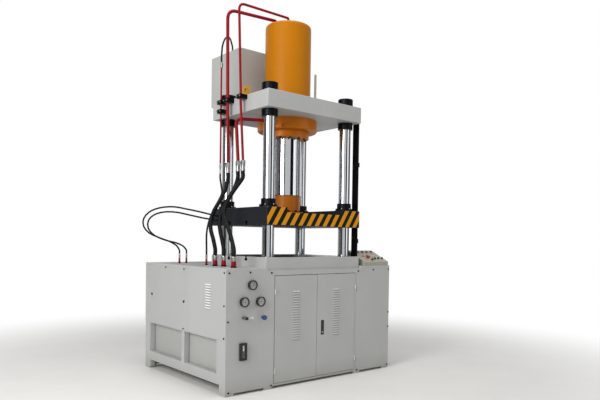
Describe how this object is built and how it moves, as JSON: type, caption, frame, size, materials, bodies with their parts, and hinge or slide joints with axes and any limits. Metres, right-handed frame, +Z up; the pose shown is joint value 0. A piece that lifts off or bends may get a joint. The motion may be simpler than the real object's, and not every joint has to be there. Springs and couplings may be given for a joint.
{
  "type": "hydraulic press",
  "caption": "Four-column hydraulic press with a bolted slide, top cylinder and filling tank, standing on its power-pack cabinet with gauges, hoses and a control desk.",
  "frame": {"origin": "on the floor, under the middle of the machine's box without its hoses", "axes": "+Z up, -Y towards the operator at the front, +X to the operator's right"},
  "size_m": [1.917, 1.4322, 3.1707],
  "materials": {
    "light_grey_enamel": "satin light warm grey enamel",
    "machined_steel": "ground steel with a film of oil",
    "hard_chrome": "ground and hard chromed",
    "blackened_steel": "black oxide, slightly oily",
    "orange_enamel": "orange enamel over a machined casting",
    "charcoal_enamel": "charcoal enamel",
    "red_pipe_enamel": "dark red enamel",
    "hose_rubber": "black hydraulic hose cover",
    "black_plastic": "moulded, slightly rough",
    "red_plastic": "moulded, glossy",
    "blue_plastic": "moulded, glossy",
    "motor_grey_enamel": "grey enamel"
  },
  "bodies": {
    "press_frame": {"bed": "machined_steel", "crown": "light_grey_enamel", "column_front_left": "hard_chrome", "column_front_right": "hard_chrome", "column_rear_left": "hard_chrome", "column_rear_right": "hard_chrome", "crown_nut_front_left": "blackened_steel", "crown_nut_front_right": "blackened_steel", "crown_nut_rear_left": "blackened_steel", "crown_nut_rear_right": "blackened_steel", "cylinder_barrel": "orange_enamel", "lock_ring": "orange_enamel", "gland_ring": "orange_enamel", "filling_tank": "light_grey_enamel", "cabinet_frame": "light_grey_enamel", "oil_reservoir": "light_grey_enamel", "pump_motor": "motor_grey_enamel", "valve_manifold": "machined_steel", "left_cover_rear": "light_grey_enamel", "left_cover_front": "light_grey_enamel", "right_cover": "light_grey_enamel", "rear_cover": "light_grey_enamel", "gauge_panel": "light_grey_enamel", "right_front_panel": "light_grey_enamel", "left_deck_cover": "light_grey_enamel", "rear_deck_cover": "light_grey_enamel", "main_pressure_gauge": "blackened_steel", "system_pressure_gauge": "blackened_steel", "filling_pressure_gauge": "blackened_steel", "oil_level_gauge": "black_plastic", "control_console": "light_grey_enamel", "limit_sensor_rail": "blackened_steel", "main_pressure_pipe": "red_pipe_enamel", "fast_approach_pipe": "red_pipe_enamel", "pilot_pipe": "red_pipe_enamel", "return_pipe": "red_pipe_enamel", "main_pressure_hose": "hose_rubber", "return_hose": "hose_rubber", "fast_approach_hose": "hose_rubber", "pilot_hose": "hose_rubber", "slide_hose_front": "hose_rubber", "slide_hose_rear": "hose_rubber", "tank_hose": "hose_rubber"},
    "slide_assembly": {"slide": "charcoal_enamel", "ram": "hard_chrome", "ram_foot": "orange_enamel", "guide_bush_front_left": "blackened_steel", "guide_bush_front_right": "blackened_steel", "guide_bush_rear_left": "blackened_steel", "guide_bush_rear_right": "blackened_steel"},
    "left_door_panel": {"left_door": "light_grey_enamel"},
    "right_door_panel": {"right_door": "light_grey_enamel"},
    "latch_handle": {"door_handle": "blackened_steel"},
    "gauge_cock": {"gauge_cock_lever": "blackened_steel"},
    "needle_valve": {"needle_valve_knob": "blue_plastic"},
    "emergency_stop": {"emergency_button": "red_plastic"},
    "push_button_head_1": {"push_button_1": "black_plastic"},
    "push_button_head_2": {"push_button_2": "black_plastic"},
    "push_button_head_3": {"push_button_3": "black_plastic"},
    "push_button_head_4": {"push_button_4": "black_plastic"}
  },
  "joints": [
    {"name": "slide_travel", "type": "slide", "parent": "press_frame", "child": "slide_assembly", "axis": [0, 0, 1], "range_m": [-0.22, 0.48], "deforming": ["slide_hose_front", "slide_hose_rear"]},
    {"name": "left_door_hinge", "type": "hinge", "parent": "press_frame", "child": "left_door_panel", "pos_m": [-0.4455, -0.66435, 0.474], "axis": [0, 0, 1], "range_deg": [-115, 0]},
    {"name": "right_door_hinge", "type": "hinge", "parent": "press_frame", "child": "right_door_panel", "pos_m": [0.4565, -0.66435, 0.474], "axis": [0, 0, 1], "range_deg": [0, 115]},
    {"name": "latch_handle_turn", "type": "hinge", "parent": "right_door_panel", "child": "latch_handle", "pos_m": [0.0725, -0.65185, 0.398], "axis": [1, 0, 0], "range_deg": [0, 60]},
    {"name": "gauge_cock_turn", "type": "hinge", "parent": "press_frame", "child": "gauge_cock", "pos_m": [-0.748, -0.70685, 0.592], "axis": [0, 1, 0], "range_deg": [0, 90]},
    {"name": "needle_valve_turn", "type": "hinge", "parent": "press_frame", "child": "needle_valve", "pos_m": [-0.57, -0.67285, 0.585], "axis": [0, 1, 0], "continuous": true},
    {"name": "emergency_stop_press", "type": "slide", "parent": "press_frame", "child": "emergency_stop", "axis": [0, -0.4138, 0.9104], "range_m": [-0.006, 0]},
    {"name": "push_button_1_press", "type": "slide", "parent": "press_frame", "child": "push_button_head_1", "axis": [0, -0.4138, 0.9104], "range_m": [-0.004, 0], "stiffness_N_per_m": 600, "springref_m": 0.002},
    {"name": "push_button_2_press", "type": "slide", "parent": "press_frame", "child": "push_button_head_2", "axis": [0, -0.4138, 0.9104], "range_m": [-0.004, 0], "stiffness_N_per_m": 600, "springref_m": 0.002},
    {"name": "push_button_3_press", "type": "slide", "parent": "press_frame", "child": "push_button_head_3", "axis": [0, -0.4138, 0.9104], "range_m": [-0.004, 0], "stiffness_N_per_m": 600, "springref_m": 0.002},
    {"name": "push_button_4_press", "type": "slide", "parent": "press_frame", "child": "push_button_head_4", "axis": [0, -0.4138, 0.9104], "range_m": [-0.004, 0], "stiffness_N_per_m": 600, "springref_m": 0.002}
  ]
}
